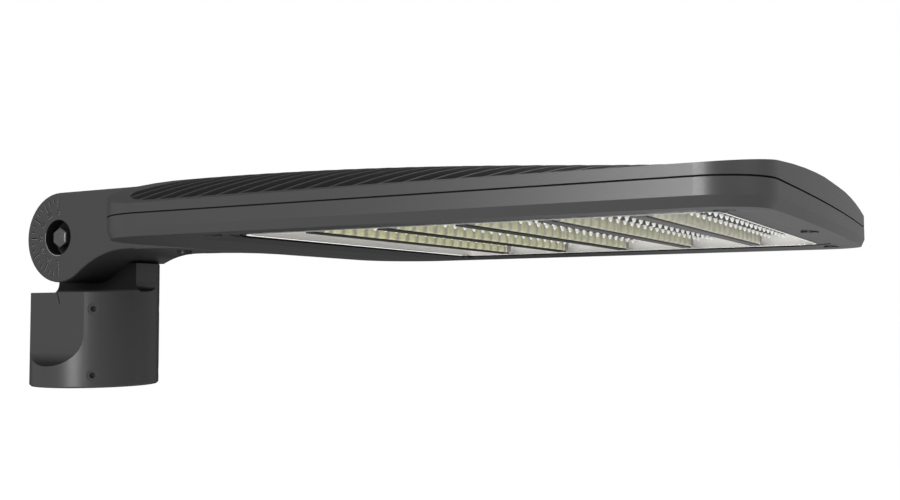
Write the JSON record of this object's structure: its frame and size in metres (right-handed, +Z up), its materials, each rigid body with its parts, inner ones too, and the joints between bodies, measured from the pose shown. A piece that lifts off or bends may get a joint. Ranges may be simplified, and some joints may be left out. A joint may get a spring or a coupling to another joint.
{
  "type": "area light",
  "caption": "Flat finned area light on a tilting slip fitter: a hinged head with rows of lensed diodes under it, on a sleeve for a pole tenon.",
  "frame": {"origin": "centre of the slip fitter's open end, where the tenon bore begins", "axes": "+Z up along the tenon, +X out to the tip of the head, +Y along the tilt axis"},
  "size_m": [0.5766, 0.337, 0.1413],
  "materials": {
    "coated_casting": "dark grey fine powder coat",
    "coated_bar": "dark grey coated strip",
    "black_steel": "black oxide",
    "bright_steel": "dull zinc plate",
    "black_rubber": "matte silicone",
    "white_reflector": "white reflective coat",
    "circuit_board": "white solder mask on aluminium",
    "diode_phosphor": "yellow phosphor in a white case",
    "clear_optic": "clear moulded acrylic lenses",
    "sheet_steel": "galvanised",
    "driver_case": "plain extruded case",
    "black_plastic": "moulded",
    "white_plastic": "moulded"
  },
  "bodies": {
    "slip_fitter": {"slipfitter_base": "coated_casting", "set_screws": "black_steel", "pivot_bolt": "bright_steel", "pivot_nut": "bright_steel", "head_washer": "black_steel", "nut_washer": "black_steel"},
    "head": {"driver_bracket": "sheet_steel", "frame_gasket": "black_rubber", "frame_screws": "black_steel", "led_board_1": "circuit_board", "led_board_2": "circuit_board", "led_board_3": "circuit_board", "led_board_4": "circuit_board", "led_board_5": "circuit_board", "led_chips_1": "diode_phosphor", "led_chips_2": "diode_phosphor", "led_chips_3": "diode_phosphor", "led_chips_4": "diode_phosphor", "led_chips_5": "diode_phosphor", "led_driver": "driver_case", "lower_frame": "coated_casting", "optic_strip_1": "clear_optic", "optic_strip_2": "clear_optic", "optic_strip_3": "clear_optic", "optic_strip_4": "clear_optic", "optic_strip_5": "clear_optic", "reflector_pan": "white_reflector", "shield_bar_1": "coated_bar", "shield_bar_2": "coated_bar", "shield_bar_3": "coated_bar", "shield_bar_4": "coated_bar", "shield_bar_5": "coated_bar", "surge_protector": "black_plastic", "terminal_block": "white_plastic", "upper_housing": "coated_casting"}
  },
  "joints": [
    {"name": "head_tilt", "type": "hinge", "parent": "slip_fitter", "child": "head", "pos_m": [0, 0, 0.1085], "axis": [0, -1, 0], "range_deg": [0, 90]}
  ]
}
